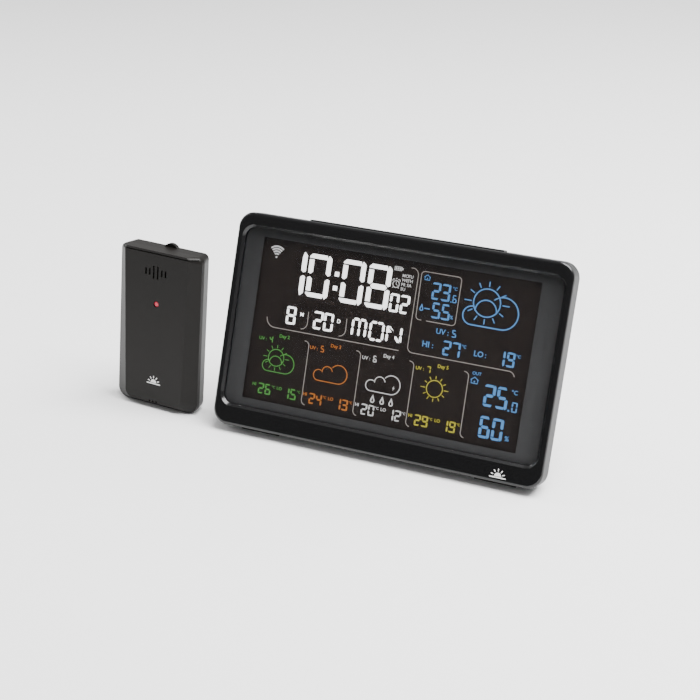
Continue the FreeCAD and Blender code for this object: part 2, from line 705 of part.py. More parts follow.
def channel_slider():
    stem = block(2.2, 3.4, 2.4, x=SLIDER[0], y=8.5, z=SLIDER[1] - 1.2)
    foot = block(3.2, 0.8, 2.4, x=SLIDER[0], y=7.8, z=SLIDER[1] - 1.2)
    finish(fuse(stem, foot), "channel_slider", sensor_frame)


def sensor_battery_door():
    plate = rounded(block(27, 1.6, 66, y=13.4, z=4.3), 1.5, runs_along(FreeCAD.Vector(0, 1, 0)))
    grips = [block(9, 0.5, 0.8, y=14.6, z=61 + 1.8 * step) for step in range(4)]
    finish(cut(plate, *grips), "sensor_battery_door", sensor_frame)


def seam_gasket():
    """Silicone frame in the joint between the shells."""
    outside = ("sensor_width - 4.3", "sensor_width - 4.3", 2.25, "sensor_height - 2.25", 2.4, 4.7)
    inside = ("sensor_width - 5.8", "sensor_width - 5.8", 3, "sensor_height - 3", 1.7, 4)
    finish(cut(tapered((7, *outside), (8.2, *outside), shield_outline),
               tapered((6, *inside), (9, *inside), shield_outline)), "seam_gasket", sensor_frame)


sensor_batteries()
cell_springs()
cell_contacts()
sensor_board()
sensor_antenna()
lamp_lens()
send_button()
channel_slider()
sensor_battery_door()
seam_gasket()
finish(block(3, 1, 3, x=LAMP[0], y=2.6, z=LAMP[1] - 1.5), "lamp_diode", sensor_frame)
finish(block(3, 1.1, 3, x=-0.35, y=2.5, z=82.5), "humidity_chip", sensor_frame)
finish(group(block(6, 2.1, 6, x=BUTTON[0], y=BOARD_REAR, z=BUTTON[1] - 3),
             block(9, 2.1, 4, x=SLIDER[0] + 1, y=BOARD_REAR, z=SLIDER[1] - 2)), "sensor_switches",
       sensor_frame)
finish(group(*[screw(2, 8.5, 3.8, 1.4, x, 11.4, z) for x, z in SENSOR_SCREWS]), "sensor_screws",
       sensor_frame)


# ---------------------------------------------------------------- check and write

doc.recompute()
for item in doc.Objects:
    if "Invalid" in item.State or "Error" in item.State:
        raise RuntimeError(f"{item.Label} failed: {item.State}")
whole = FreeCAD.BoundBox()
for item in SUBPARTS:
    if item.Shape.isNull() or not item.Shape.isValid():
        raise RuntimeError(f"{item.Label} has no valid shape")
    whole.add(item.Shape.BoundBox)
    item.Shape.exportStep(f"parts/{item.Label}.step")
    print(f"{item.Label:22s} {len(item.Shape.Solids)} solids {item.Shape.Volume:10.1f} mm3")
print(len(SUBPARTS), "sub-parts", whole)
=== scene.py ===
import json
import math
import bpy
from mathutils import Euler, Matrix, Vector


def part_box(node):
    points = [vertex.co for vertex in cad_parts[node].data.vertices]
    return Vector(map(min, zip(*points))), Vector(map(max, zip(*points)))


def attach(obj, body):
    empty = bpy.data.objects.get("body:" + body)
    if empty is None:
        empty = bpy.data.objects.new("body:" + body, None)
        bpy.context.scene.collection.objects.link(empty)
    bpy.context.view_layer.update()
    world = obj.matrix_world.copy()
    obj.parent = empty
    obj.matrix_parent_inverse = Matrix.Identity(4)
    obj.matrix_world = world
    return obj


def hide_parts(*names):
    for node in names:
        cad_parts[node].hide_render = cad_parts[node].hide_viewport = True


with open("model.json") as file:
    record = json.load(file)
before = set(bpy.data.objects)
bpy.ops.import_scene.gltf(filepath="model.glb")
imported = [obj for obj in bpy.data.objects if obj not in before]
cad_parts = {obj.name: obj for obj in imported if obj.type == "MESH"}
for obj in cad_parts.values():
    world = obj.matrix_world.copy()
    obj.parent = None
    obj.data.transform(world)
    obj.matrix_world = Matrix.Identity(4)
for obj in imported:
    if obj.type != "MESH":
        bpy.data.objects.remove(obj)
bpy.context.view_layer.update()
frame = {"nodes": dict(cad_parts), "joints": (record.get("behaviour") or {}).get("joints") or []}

NODES = frame["nodes"]
MM = 0.001
bpy.ops.object.select_all(action="DESELECT")


# ------------------------------------------------------------ the studio
# A matt white table top, a broad soft box overhead, a weaker one from the left, a small one behind
# on the right for the glint on the corner, and a room that is pale behind and dim in front, so that
# the glossy front has something dark to mirror.

COLOUR_PATCH = 12      # millimetres across a patch of slightly different colour in moulded plastic
GLOSS_SPREAD = 0.15    # how far roughness strays either way, as a share of itself


def linear(hex_colour):
    """An sRGB hex value as the linear colour that a shader takes."""
    channels = [int(hex_colour[place:place + 2], 16) / 255 for place in (1, 3, 5)]
    return [c / 12.92 if c <= 0.04045 else ((c + 0.055) / 1.055) ** 2.4 for c in channels] + [1]


def add(material, kind, settings=None, links=None):
    """Add one node, with its settings and with links from other nodes' outputs to its inputs."""
    made = material.node_tree.nodes.new(kind)
    for name, value in (settings or {}).items():
        if isinstance(name, int) or name in made.inputs:
            made.inputs[name].default_value = value
        else:
            setattr(made, name, value)
    for name, output in (links or {}).items():
        material.node_tree.links.new(output, made.inputs[name])
    return made


def shader(name, **sockets):
    """A new material and its Principled shader, with the sockets that are the same all over."""
    material = bpy.data.materials.new(name)
    material.use_nodes = True
    principled = material.node_tree.nodes["Principled BSDF"]
    for socket, value in sockets.items():
        principled.inputs[socket.replace("_", " ")].default_value = value
    return material, principled


def moulded(name, colour, roughness, grain_mm, depth_mm, mottle=0.12, **sockets):
    """A moulded or coated surface: fine grain of a real size, slight mottle in colour and gloss."""
    material, principled = shader(name, **sockets)
    links = material.node_tree.links
    place = add(material, "ShaderNodeTexCoord").outputs["Object"]
    cloud = add(material, "ShaderNodeTexNoise", {"Scale": 1 / (COLOUR_PATCH * MM), "Detail": 3.0},
                {"Vector": place})
    grain = add(material, "ShaderNodeTexNoise", {"Scale": 1 / (grain_mm * MM), "Detail": 4.0},
                {"Vector": place})
    base = linear(colour)
    darker = [c * (1 - mottle) for c in base[:3]] + [1]
    lighter = [c * (1 + mottle) for c in base[:3]] + [1]
    tint = add(material, "ShaderNodeMix", {"data_type": "RGBA"}, {0: cloud.outputs["Fac"]})
    tint.inputs[6].default_value = darker
    tint.inputs[7].default_value = lighter
    links.new(tint.outputs[2], principled.inputs["Base Color"])
    gloss = add(material, "ShaderNodeMapRange", {"To Min": roughness * (1 - GLOSS_SPREAD),
                                                 "To Max": roughness * (1 + GLOSS_SPREAD)},
                {"Value": grain.outputs["Fac"]})
    links.new(gloss.outputs["Result"], principled.inputs["Roughness"])
    bump = add(material, "ShaderNodeBump", {"Strength": 1.0, "Distance": depth_mm * MM},
               {"Height": grain.outputs["Fac"]})
    links.new(bump.outputs["Normal"], principled.inputs["Normal"])
    return material


def light(name, width, height, power, across, forward, up, aim):
    """A soft box of this size, in metres, turned to face a point."""
    bpy.ops.object.light_add(type="AREA", location=(across, forward, up))
    lamp = bpy.context.object
    lamp.name = name
    lamp.data.shape = "RECTANGLE"
    lamp.data.size = width
    lamp.data.size_y = height
    lamp.data.energy = power
    lamp.rotation_euler = (Vector(aim) - lamp.location).to_track_quat("-Z", "Y").to_euler()


# Laminate pressed with a fine texture: it spreads light evenly and mirrors almost nothing.
TABLE_SIZE = 30
bpy.ops.mesh.primitive_plane_add(size=TABLE_SIZE, location=(0, 0, 0))
floor = bpy.context.object
floor.name = "table_top"
floor.data.materials.append(moulded("matt_white_laminate", "#F4F4F4", 0.75, 0.8, 0.01, 0.01))

light("overhead_soft_box", 0.9, 1.1, 66, 0.5, 0.1, 1.3, (0, 0, 0.05))
light("left_soft_box", 0.6, 0.9, 9, -1.15, 0.1, 0.65, (-0.1, 0, 0.05))
light("rear_soft_box", 0.35, 0.35, 7, 0.75, 0.85, 0.85, (0.1, 0, 0.05))
room = bpy.data.worlds.new("studio_room")
room.use_nodes = True
background = room.node_tree.nodes["Background"]
background.inputs["Color"].default_value = (1, 1, 1, 1)
# The room brightens towards a point high up behind the table, and is dimmest low down in front.
BRIGHTEST = (0, 0.8, 0.6)
direction = add(room, "ShaderNodeTexCoord").outputs["Generated"]
rearward = add(room, "ShaderNodeVectorMath", {"operation": "DOT_PRODUCT", 1: BRIGHTEST},
               {0: direction})
glow = add(room, "ShaderNodeMapRange", {"From Min": -0.8, "From Max": 0.7, "To Min": 0.2, "To Max": 0.75},
           {"Value": rearward.outputs["Value"]})
room.node_tree.links.new(glow.outputs["Result"], background.inputs["Strength"])
bpy.context.scene.world = room


# ------------------------------------------------------------ the console's own frame
# The console leans back on its leg. Its glass gives the middle of the display, and two joints give
# the directions: the snooze bar is pressed down the face, and the coin cell's door lifts off
# backwards. Everything drawn on a surface is laid out in millimetres on a plane of its own.

JOINTS = {joint["name"]: joint for joint in frame["joints"]}
face_back = Vector(JOINTS["coin_door_lift"]["axis"]).normalized()
face_up = -Vector(JOINTS["snooze_press"]["axis"]).normalized()
face_right = Vector((1, 0, 0))


def middle(node):
    """Centre of a CAD node's box."""
    low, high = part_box(node)
    return (Vector(low) + Vector(high)) / 2


def drawing_plane(origin, right, up):
    """Plane to draw on in millimetres: x right, y up and z out of the surface."""
    turned = Matrix((right, up, right.cross(up))).transposed().to_4x4()
    return Matrix.Translation(origin) @ turned @ Matrix.Scale(MM, 4)


GLASS_THICK = 2.6 * MM
glass_front = middle("lcd_panel") - face_back * GLASS_THICK / 2
DISPLAY = drawing_plane(glass_front, face_right, face_up)
# From the middle of the glass to the foot of the bezel's face: right, up and forward.
GLASS_TO_FOOT = (0.7 * MM, -64.2 * MM, 4.6 * MM)
face_foot = (glass_front + face_right * GLASS_TO_FOOT[0] + face_up * GLASS_TO_FOOT[1]
             - face_back * GLASS_TO_FOOT[2])
FACE = drawing_plane(face_foot, face_right, face_up)


# ------------------------------------------------------------ camera
# A long lens from the right front and a little above, as a product is usually shown. It is placed
# from the foot of the bezel, so it follows the console if that is moved.

TURN = math.radians(23.9)
RISE = math.radians(25.57)
DISTANCE, LEFTWARD, UPWARD = 0.8937, 0.01047, 0.05894
towards = Vector((math.sin(TURN) * math.cos(RISE), -math.cos(TURN) * math.cos(RISE), math.sin(RISE)))
camera_right = Vector((math.cos(TURN), math.sin(TURN), 0))
camera_up = towards.cross(camera_right)
camera_data = bpy.data.cameras.new("camera")
camera_data.lens = 82.06
camera_data.sensor_width = 36
camera = bpy.data.objects.new("camera", camera_data)
bpy.context.collection.objects.link(camera)
camera.location = face_foot + towards * DISTANCE - camera_right * LEFTWARD + camera_up * UPWARD
camera.rotation_euler = Euler((math.pi / 2 - RISE, 0, TURN))
bpy.context.scene.camera = camera


# ------------------------------------------------------------ display glass and printed mask
# The glass is a polarised liquid crystal cell, brown-black when it isn't lit. The mask is grey ink,
# screen printed on the back of a clear acrylic window; it gives a satin edge round the view.

def coat(material, *nodes):
    """Give CAD nodes their finish."""
    for node in nodes:
        NODES[node].data.materials.clear()
        NODES[node].data.materials.append(material)


# Soda glass under a stretched polarising film: dark warm brown, with a soft, weak sheen.
coat(moulded("polarised_display_glass", "#221C19", 0.22, 0.6, 0.002, 0.05, IOR=1.5,
             Specular_IOR_Level=0.35), "lcd_panel")
# Screen-printed ink: flat grey with the weave of the screen just felt in it.
coat(moulded("grey_screen_print", "#262627", 0.6, 0.25, 0.006, 0.04), "display_mask")
# Cast acrylic sheet, polished: clear, faintly grey, with a sharp reflection.
coat(moulded("clear_acrylic_window", "#15161A", 0.04, 3.0, 0.0001, 0.02, Alpha=0.12, IOR=1.49),
     "display_lens")


# ------------------------------------------------------------ display symbols: how they are drawn
# Every lit symbol is a thin transparent electrode on the glass with a coloured film behind it, so it
# glows evenly and has crisp edges. Each is drawn as flat closed outlines and made a mesh.

SYMBOL_THICK = 0.05
FILM_GAP = 0.03
SPECKLE = 0.5
CAPITAL_SHARE = 0.69   # height of a capital letter as a share of the font's size
EMBOLDEN = 0.018       # how far each letter's outline is moved out, as a share of its height
ON_GLASS = DISPLAY @ Matrix.Translation((0, 0, FILM_GAP + SYMBOL_THICK / 2))


def lit(name, colour, strength):
    """Coloured gel film with the backlight behind it: an even glow with a trace of speckle."""
    material, principled = shader(name, Roughness=0.4, Emission_Strength=strength)
    principled.inputs["Emission Color"].default_value = linear(colour)
    place = add(material, "ShaderNodeTexCoord").outputs["Object"]
    speckle = add(material, "ShaderNodeTexNoise", {"Scale": 1 / (SPECKLE * MM)}, {"Vector": place})
    tint = add(material, "ShaderNodeMix", {"data_type": "RGBA"}, {0: speckle.outputs["Fac"]})
    base = linear(colour)
    for socket, share in ((6, 0.45), (7, 0.55)):
        tint.inputs[socket].default_value = [c * share for c in base[:3]] + [1]
    material.node_tree.links.new(tint.outputs[2], principled.inputs["Base Color"])
    return material


# Dyed polyester gels laid behind the glass, one to each area. The figures of the clock get clear
# white and glow the most; the coloured gels swallow more light, and the grey one nearly all of it.
WHITE = lit("white_film", "#FFFFFF", 2.6)
BLUE = lit("blue_film", "#5CA0E4", 0.5)
GREEN = lit("green_film", "#56AE44", 0.3)
ORANGE = lit("orange_film", "#D87E22", 0.36)
YELLOW = lit("yellow_film", "#D6CC3C", 0.43)
PALE = lit("pale_film", "#DADADA", 0.7)
GREY = lit("grey_film", "#B0A8A2", 0.33)


def flat_curve(name, outlines, thick):
    """Flat curve object filled between closed outlines, in millimetres."""
    curve = bpy.data.curves.new(name, "CURVE")
    curve.dimensions = "2D"
    curve.fill_mode = "BOTH"
    curve.extrude = thick / 2
    for outline in outlines:
        spline = curve.splines.new("POLY")
        spline.points.add(len(outline) - 1)
        for point, (x, y) in zip(spline.points, outline):
            point.co = (x, y, 0, 1)
        spline.use_cyclic_u = True
    layer = bpy.data.objects.new(name, curve)
    bpy.context.collection.objects.link(layer)
    return layer


def settle(layers, plane, finish, body):
    """Turn flat curves or text into one mesh, lay it on a plane and fix it to a body."""
    bpy.ops.object.select_all(action="DESELECT")
    for layer in layers:
        layer.select_set(True)
    bpy.context.view_layer.objects.active = layers[0]
    bpy.ops.object.convert(target="MESH")
    if len(layers) > 1:
        bpy.ops.object.join()
    piece = bpy.context.view_layer.objects.active
    piece.data.transform(plane @ piece.matrix_world)
    piece.matrix_world = Matrix()
    piece.data.materials.clear()
    piece.data.materials.append(finish)
    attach(piece, body)
    return piece


def symbols(name, film, *layers):
    """One lit piece on the glass. Outlines that cross each other go in different layers."""
    drawn = [flat_curve(name, outlines, SYMBOL_THICK) for outlines in layers]
    return settle(drawn, ON_GLASS, film, "console")


def arc(x, y, radius, first, last, steps=24):
    """Points along an arc; angles in degrees, anticlockwise from the right."""
    angles = [math.radians(first + (last - first) * step / steps) for step in range(steps + 1)]
    return [(x + radius * math.cos(angle), y + radius * math.sin(angle)) for angle in angles]


def stroke(path, width):
    """Outline of a line of this width along an open path."""
    points = [Vector(point) for point in path]
    sides = []
    for number, point in enumerate(points):
        before = points[max(number - 1, 0)]
        after = points[min(number + 1, len(points) - 1)]
        heading = (after - before).normalized()
        sideways = Vector((-heading.y, heading.x)) * width / 2
        sides.append((point + sideways, point - sideways))
    return [tuple(side[0]) for side in sides] + [tuple(side[1]) for side in reversed(sides)]


def ring(x, y, radius, width):
    """Outlines of a drawn circle."""
    return [arc(x, y, radius + width / 2, 0, 351, 39), arc(x, y, radius - width / 2, 351, 0, 39)]


def square(x, y, side):
    """Outline of a square centred on (x, y)."""
    half = side / 2
    return [(x - half, y - half), (x + half, y - half), (x + half, y + half), (x - half, y + half)]


# Which of the seven bars each figure lights: top, upper right, lower right, bottom, lower left,
# upper left, middle.
BARS = {"0": "TRSBLU", "1": "RS", "2": "TRMLB", "3": "TRMSB", "4": "UMRS", "5": "TUMSB",
        "6": "TUMSBL", "7": "TRS", "8": "TRSBLUM", "9": "TURMSB"}


def figure(digit, x, y, width, height, stem):
    """Seven-bar figure with its lower left corner at (x, y)."""
    gap = stem * 0.14
    corner = stem * 0.55
    right, top, mid, half = x + width, y + height, y + height / 2, stem / 2
    tip = stem * 0.42
    shapes = {
        "T": [(x, top - stem + gap), (x, top - corner), (x + corner, top), (right - stem - gap, top),
              (right - stem + gap * 2, top - stem + gap)],
        "B": [(x, y + stem - gap), (right - stem + gap * 2, y + stem - gap), (right - stem - gap, y),
              (x + corner, y), (x, y + corner)],
        "U": [(x, top - stem - gap), (x + stem, top - stem - gap), (x + stem, mid + half + tip / 2),
              (x + half, mid + gap * 2), (x, mid + half)],
        "L": [(x, y + stem + gap), (x, mid - half), (x + half, mid - gap * 2), (x + stem, mid - half - tip / 2),
              (x + stem, y + stem + gap)],
        "R": [(right, top - corner), (right - corner, top), (right - stem + gap * 2, top),
              (right - stem, top - stem), (right - stem, mid + half + tip / 2), (right - half, mid + gap * 2),
              (right, mid + half)],
        "S": [(right, y + corner), (right, mid - half), (right - half, mid - gap * 2),
              (right - stem, mid - half - tip / 2), (right - stem, y + stem), (right - stem + gap * 2, y),
              (right - corner, y)],
        "M": [(x + half + gap, mid), (x + stem, mid + half), (right - stem, mid + half),
              (right - half - gap, mid), (right - stem, mid - half), (x + stem, mid - half)],
    }
    return [shapes[letter] for letter in BARS[digit]]


def figures(digits, x, y, width, height, stem, pitch):
    """A row of figures, each one pitch further to the right."""
    return [shape for place, digit in enumerate(digits)
            for shape in figure(digit, x + place * pitch, y, width, height, stem)]


def bar(start, end, width):
    """Straight bar with pointed ends."""
    first, last = Vector(start), Vector(end)
    along = (last - first).normalized() * width / 2
    side = Vector((-along.y, along.x))
    points = [first, first + along + side, last - along + side, last, last - along - side,
              first + along - side]
    return [tuple(point) for point in points]


def lettering(text, x, y, tall):
    """Plain sans-serif capitals of this height, the lower left corner at (x, y)."""
    bpy.ops.object.text_add(location=(x, y, 0))
    label = bpy.context.object
    label.data.body = text
    label.data.size = tall / CAPITAL_SHARE
    label.data.resolution_u = 3
    label.data.extrude = SYMBOL_THICK / 2
    label.data.offset = EMBOLDEN * tall
    return label


def words(name, film, *legends):
    """Several small legends of one colour as one piece."""
    labels = [lettering(*legend) for legend in legends]
    labels[0].name = name
    piece = settle(labels, ON_GLASS, film, "console")
    piece.name = name
    return piece


# ------------------------------------------------------------ time and date
# The largest figures on the glass are the hours and minutes; seconds, a small cell sign, the alarm
# clock sign and the days of the week stand to their right, and the date stands below. The figures
# are lit clear white and the small signs dimmer. All places are from the middle of the glass.

CLOCK_LOW, CLOCK_WIDE, CLOCK_TALL, CLOCK_BAR = 17.2, 13.8, 24.6, 2.9
clock = []
for digit, x in (("1", -69.1), ("0", -53.8), ("0", -32.8), ("8", -17.0)):
    clock += figure(digit, x, CLOCK_LOW, CLOCK_WIDE, CLOCK_TALL, CLOCK_BAR)
clock += [square(-36, 32.5, 2.6), square(-36, 24.5, 2.6)]
symbols("clock_figures", WHITE, clock)
symbols("seconds_figures", WHITE, figures("02", -2.2, 17.0, 5.5, 10.4, 1.4, 6.4))

symbols("date_figures", WHITE, figures("8", -63.4, -0.4, 6.0, 10.3, 1.4, 0)
        + figures("20", -46.2, -0.4, 5.9, 10.3, 1.4, 6.3))
words("date_marks", WHITE, ("M", -55.0, 5.4, 2.1), ("D", -31.9, 5.4, 2.1))

LETTER_BAR = 1.4
letters = []
for x in (-22.0, -18.0, -14.2, -11.2, -3.5, -0.9, 7.3):
    letters += [bar((x, 0.2), (x, 4.6), LETTER_BAR), bar((x, 4.7), (x, 9.1), LETTER_BAR)]
for left, right in ((-21.8, -18.2), (-17.8, -14.3), (-11.0, -7.5), (-7.2, -3.7)):
    letters.append(bar((left, 9.5), (right, 9.5), LETTER_BAR))
letters += [bar((-11.0, -0.2), (-7.5, -0.2), LETTER_BAR), bar((-7.2, -0.2), (-3.7, -0.2), LETTER_BAR)]
letters += [bar((-0.3, 8.9), (2.6, 5.6), LETTER_BAR), bar((3.8, 3.8), (6.6, 0.5), LETTER_BAR)]
symbols("weekday_letters", WHITE, letters)

fan = [stroke(arc(-74.7, 36.4, radius, 50, 130), 0.85) for radius in (1.9, 3.3, 4.7, 6.1)]
symbols("wireless_sign", PALE, fan + [square(-74.7, 36.3, 0.9)])
cell_case = [[(-2.2, 40.3), (2.3, 40.3), (2.3, 42.6), (-2.2, 42.6)],
             [(-1.8, 40.7), (-1.8, 42.2), (1.9, 42.2), (1.9, 40.7)]]
cell_case += [[(2.4, 40.9), (3.1, 40.9), (3.1, 42), (2.4, 42)]]
cell_case += [[(x, 40.9), (x + 0.9, 40.9), (x + 0.9, 42), (x, 42)] for x in (-1.6, -0.4, 0.8)]
symbols("cell_sign", PALE, cell_case)
SIGN_BAR = 0.45
bells = [stroke(arc(-1.5, 34.7, 0.7, 40, 220, 8), SIGN_BAR),
         stroke(arc(1.5, 34.7, 0.7, -40, 140, 8), SIGN_BAR)]
hands = [stroke([(0, 34.0), (0, 32.7), (1.0, 32.1)], 0.35)]
feet = [stroke([(side * 1.4, 31.1), (side * 1.9, 30.5)], SIGN_BAR) for side in (-1, 1)]
symbols("alarm_sign", PALE, ring(0, 32.7, 1.9, SIGN_BAR) + [square(0, 35.8, 0.7)], bells + hands + feet)
WEEK = ("MO", "TU", "WE", "TH", "FR", "SA", "SU")
words("week_list", PALE, *[(day, (3.0, 6.4)[place % 2], 37.2 - 2.5 * (place // 2), 1.7)
                           for place, day in enumerate(WEEK)])


# ------------------------------------------------------------ dividing lines
# Thin grey lines with rounded turns part the clock, the indoor box and the five lower columns. Each
# is one electrode a little under half a millimetre wide, with a dim grey film behind it.

THIN = 0.46
clock_line = stroke(arc(-69.8, 1.6, 5.4, 180, 270) + [(7.3, -3.6)], THIN)
zone_line = stroke([(7.6, 43.0)] + arc(8.6, 39.4, 3.7, 80, 0, 10) + arc(15.4, -0.4, 3.1, 180, 270, 12)
                   + arc(72.0, -7.1, 3.6, 90, 15, 10), THIN)
date_lines = [stroke([(x, 8.6)] + arc(x - 3.6, 2.0, 3.8, 0, -88, 12), THIN) for x in (-49.9, -26.1)]
indoor_box = stroke([(20.8, 15.4)] + arc(35.6, 17.4, 2, -90, 0, 6) + arc(35.6, 40.3, 2, 0, 90, 6)
                    + arc(16.1, 40.3, 2, 90, 180, 6) + arc(16.4, 17.4, 2, 180, 270, 6) + [(17.9, 15.4)], THIN)
columns = [stroke([(x - 3.0, -8.1)] + arc(x - 2.4, -10.6, 2.4, 78, 0, 8) + [(x + 0.2, -41.4)]
                  + arc(x + 2.9, -41.6, 2.8, 180, 262, 8), THIN) for x in (-46.8, -14.6, 17.6, 49.9)]
symbols("dividing_lines", GREY, [clock_line, zone_line, indoor_box] + date_lines + columns)


# ------------------------------------------------------------ indoor and outlook readings
# Blue figures: the indoor air in its box, today's outlook with its high and low, and the outdoor
# sensor's reading at the lower right. They all share one blue film.

def rays(x, y, near, far, level, width):
    """Twelve short rays around a sun; the two level ones are longer."""
    strokes = []
    for step in range(12):
        angle = math.radians(30 * step)
        end = level if step in (0, 6) else far
        strokes.append(stroke([(x + near * math.cos(angle), y + near * math.sin(angle)),
                               (x + end * math.cos(angle), y + end * math.sin(angle))], width))
    return strokes


def sun_and_cloud(x, y, scale, width):
    """Sun half behind a cloud with three humps, as layers of outlines."""
    hump = stroke(arc(x, y - 4.6 * scale, 6.1 * scale, 186, -6), width)
    cloud = stroke(arc(x - 7.6 * scale, y - 8.0 * scale, 5.1 * scale, 78, 270)
                   + arc(x + 9.8 * scale, y - 4.3 * scale, 8.8 * scale, -90, 132), width)
    return [ring(x, y, 7.7 * scale, width), [hump], [cloud],
            rays(x, y, 8.9 * scale, 11.8 * scale, 13.0 * scale, width * 0.85)]


def house(x, y, wide, width):
    """Outline of a small house with a door, its foot centred on (x, y)."""
    half, wall, ridge = wide / 2, wide * 0.55, wide * 0.95
    roof = stroke([(x - half * 1.25, y + wall * 0.9), (x, y + ridge), (x + half * 1.25, y + wall * 0.9)], width)
    walls = stroke([(x - half, y + wall), (x - half, y), (x + half, y), (x + half, y + wall)], width)
    door = stroke([(x, y + width), (x, y + wall * 0.7)], width * 1.4)
    return [[roof], [walls, door]]


def drop(x, y, radius):
    """Outline of a drop of water, its round end centred on (x, y)."""
    outer = arc(x, y, radius, 155, 385) + [(x, y + 2.6 * radius)]
    inner = arc(x, y - 0.05 * radius, radius * 0.45, 155, 385, 16) + [(x, y + 1.3 * radius)]
    return [outer, inner[::-1]]


indoor = (figures("23", 21.6, 27.8, 5.0, 9.5, 1.25, 5.7) + figures("6", 34.0, 27.8, 2.4, 4.3, 0.6, 0)
          + [square(33.3, 28.1, 0.6)] + figures("55", 23.2, 17.6, 5.0, 8.8, 1.2, 5.6))
symbols("indoor_figures", BLUE, indoor)
DEGREES = "\u00b0C"
words("indoor_units", BLUE, (DEGREES, 33.3, 34.7, 1.7), ("%", 34.0, 18.8, 1.9))
symbols("indoor_signs", BLUE, *house(17.8, 37.9, 2.9, 0.45), drop(16.9, 21.6, 1.15),
        [stroke([(18.6, 22.2), (21.8, 22.2)], 0.6)])
symbols("outlook_sign", BLUE, *sun_and_cloud(53.8, 30.9, 1.0, 0.7))
words("outlook_legends", BLUE, ("HI", 20.3, 1.2, 3.2), (":", 26.2, 1.2, 3.0), ("LO", 50.7, 1.2, 3.0),
      (":", 57.2, 1.2, 3.0), (DEGREES, 43.4, 4.3, 1.7), (DEGREES, 74.7, 4.3, 1.7), ("UV :", 27.3, 9.6, 2.9))
outlook = (figures("27", 32.7, -1.5, 4.7, 8.2, 1.2, 5.5) + figures("19", 64.1, -1.5, 4.7, 8.2, 1.2, 5.6)
           + figures("5", 36.7, 9.0, 2.5, 4.2, 0.7, 0))
symbols("outlook_figures", BLUE, outlook)
outdoor = (figures("25", 60.2, -24.9, 6.4, 12.2, 1.65, 7.3) + figures("0", 76.6, -25.3, 3.2, 5.6, 0.75, 0)
           + [square(75.1, -24.8, 0.9)] + figures("60", 60.2, -42.4, 6.4, 12.2, 1.65, 7.3))
symbols("outdoor_figures", BLUE, outdoor)
words("outdoor_units", BLUE, (DEGREES, 75.3, -15.6, 2.3), ("%", 75.4, -41.4, 2.6), ("OUT", 51.7, -8.9, 1.7))
symbols("outdoor_sign", BLUE, *house(53.6, -13.6, 3.6, 0.5))


# ------------------------------------------------------------ four day outlook
# One column for each coming day: ultraviolet index, the day's number, a sign, and high and low. Each
# column has a strip of film of its own colour. The first column's places are given, and the others
# are the same drawing one pitch further right.

def cloud_sign(x, width):
    """Cloud with three humps, as layers."""
    outline = stroke(arc(x - 38.4, -25.8, 3.1, 62, 270) + arc(x - 26.3, -23.6, 5.3, -90, 142), width)
    hump = stroke(arc(x - 33.3, -23.3, 3.15, 190, 12), width)
    return [[outline], [hump]]


SIGN_WIDTH = 0.5
PITCH = 32.4
rain = cloud_sign(PITCH, SIGN_WIDTH) + [drop(x, -34.1, 1.35) for x in (-3.8, 2.0, 7.4)]
rain += [[[(7.9, -23.7), (7.0, -25.3), (7.6, -25.3), (7.2, -26.6), (8.4, -24.9), (7.8, -24.9)]]]
sun = [ring(31.5, -20.9, 4.7, SIGN_WIDTH), rays(31.5, -20.9, 5.5, 7.2, 8.2, SIGN_WIDTH * 0.85)]
DAY_FIGURE = (3.7, 6.2, 0.92, 4.3)   # width, height, bar and pitch
DAYS = ((GREEN, "green", "4", "2", "26", "15", sun_and_cloud(-66.0, -20.9, 0.63, SIGN_WIDTH)),
        (ORANGE, "orange", "5", "3", "24", "13", cloud_sign(0, SIGN_WIDTH)),
        (PALE, "white", "6", "4", "20", "12", rain),
        (YELLOW, "yellow", "7", "5", "29", "19", sun))
for column, (film, colour, index, day, high, low, sign) in enumerate(DAYS):
    x = column * PITCH
    symbols(f"{colour}_day_sign", film, *sign)
    symbols(f"{colour}_day_figures", film,
            figures(high, x - 74.6, -43.0, *DAY_FIGURE) + figures(low, x - 58.4, -43.0, *DAY_FIGURE)
            + figures(index, x - 71.7, -12.7, 2.2, 3.7, 0.6, 0))
    words(f"{colour}_day_legends", film, ("UV :", x - 78.4, -12.0, 1.9), ("Day " + day, x - 65.9, -8.9, 1.9),
          ("HI", x - 78.6, -38.9, 1.8), (DEGREES, x - 66.3, -38.6, 1.4), ("LO", x - 63.0, -38.9, 1.8),
          (DEGREES, x - 50.1, -38.6, 1.4))


# ------------------------------------------------------------ front bezel and snooze bar
# The bezel is one moulding of black ABS that snaps round the window, and the snooze bar sits in a
# slot of its top wall. Their mould is polished on the face, which comes out nearly a mirror, and
# only stoned on the sides, which come out satin.

WAVE_MM, WAVE_DEPTH = 2.5, 0.0002


def face_polished(name, colour, polish, satin):
    """Moulded plastic whose face is polished and whose sides keep the mould's satin finish."""
    material = moulded(name, colour, polish, WAVE_MM, WAVE_DEPTH, 0.05, IOR=1.46)
    principled = material.node_tree.nodes["Principled BSDF"]
    normal = add(material, "ShaderNodeNewGeometry").outputs["Normal"]
    facing = add(material, "ShaderNodeVectorMath", {"operation": "DOT_PRODUCT", 1: -face_back}, {0: normal})
    spread = add(material, "ShaderNodeMapRange", {"From Min": 0.2, "From Max": 0.9, "To Min": satin,
                                                  "To Max": polish}, {"Value": facing.outputs["Value"]})
    material.node_tree.nodes.remove(principled.inputs["Roughness"].links[0].from_node)
    material.node_tree.links.new(spread.outputs["Result"], principled.inputs["Roughness"])
    return material


# Piano-black ABS: deep black, a clear reflection on the face and a soft one on the sides.
coat(face_polished("polished_black_abs", "#0A0A0B", 0.09, 0.5), "front_bezel", "snooze_bar")

